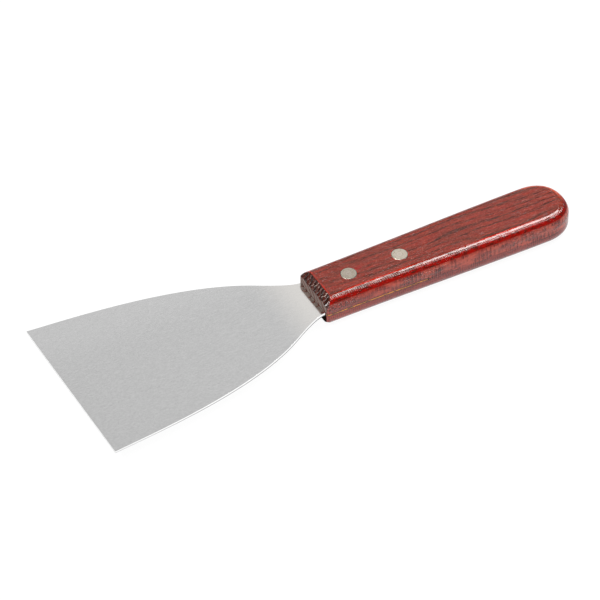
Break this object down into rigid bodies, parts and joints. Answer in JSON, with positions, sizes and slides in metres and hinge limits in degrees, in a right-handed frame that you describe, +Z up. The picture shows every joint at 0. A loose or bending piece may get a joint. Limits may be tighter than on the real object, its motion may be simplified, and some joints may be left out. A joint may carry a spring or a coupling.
{
  "type": "flexible putty knife",
  "caption": "Wide thin flexible steel blade, curving in to a neck, half-tang riveted in a flat round-ended hardwood handle.",
  "frame": {"origin": "middle of the knife's length and width, level with the handle's underside", "axes": "+X from the working edge to the butt, +Y across the blade, +Z up out of the handle's top face"},
  "size_m": [0.224, 0.0762, 0.0132],
  "materials": {
    "blade_steel": "satin, ground lengthways",
    "handle_wood": "red-brown hardwood under clear gloss lacquer",
    "resin": "amber bonding resin, lacquered over",
    "rivet_metal": "sanded flush, satin"
  },
  "bodies": {
    "root": {"blade": "blade_steel", "handle": "handle_wood", "kerf_resin": "resin", "front_rivet_pin": "rivet_metal", "front_rivet_tube": "rivet_metal", "rear_rivet_pin": "rivet_metal", "rear_rivet_tube": "rivet_metal"}
  },
  "joints": []
}
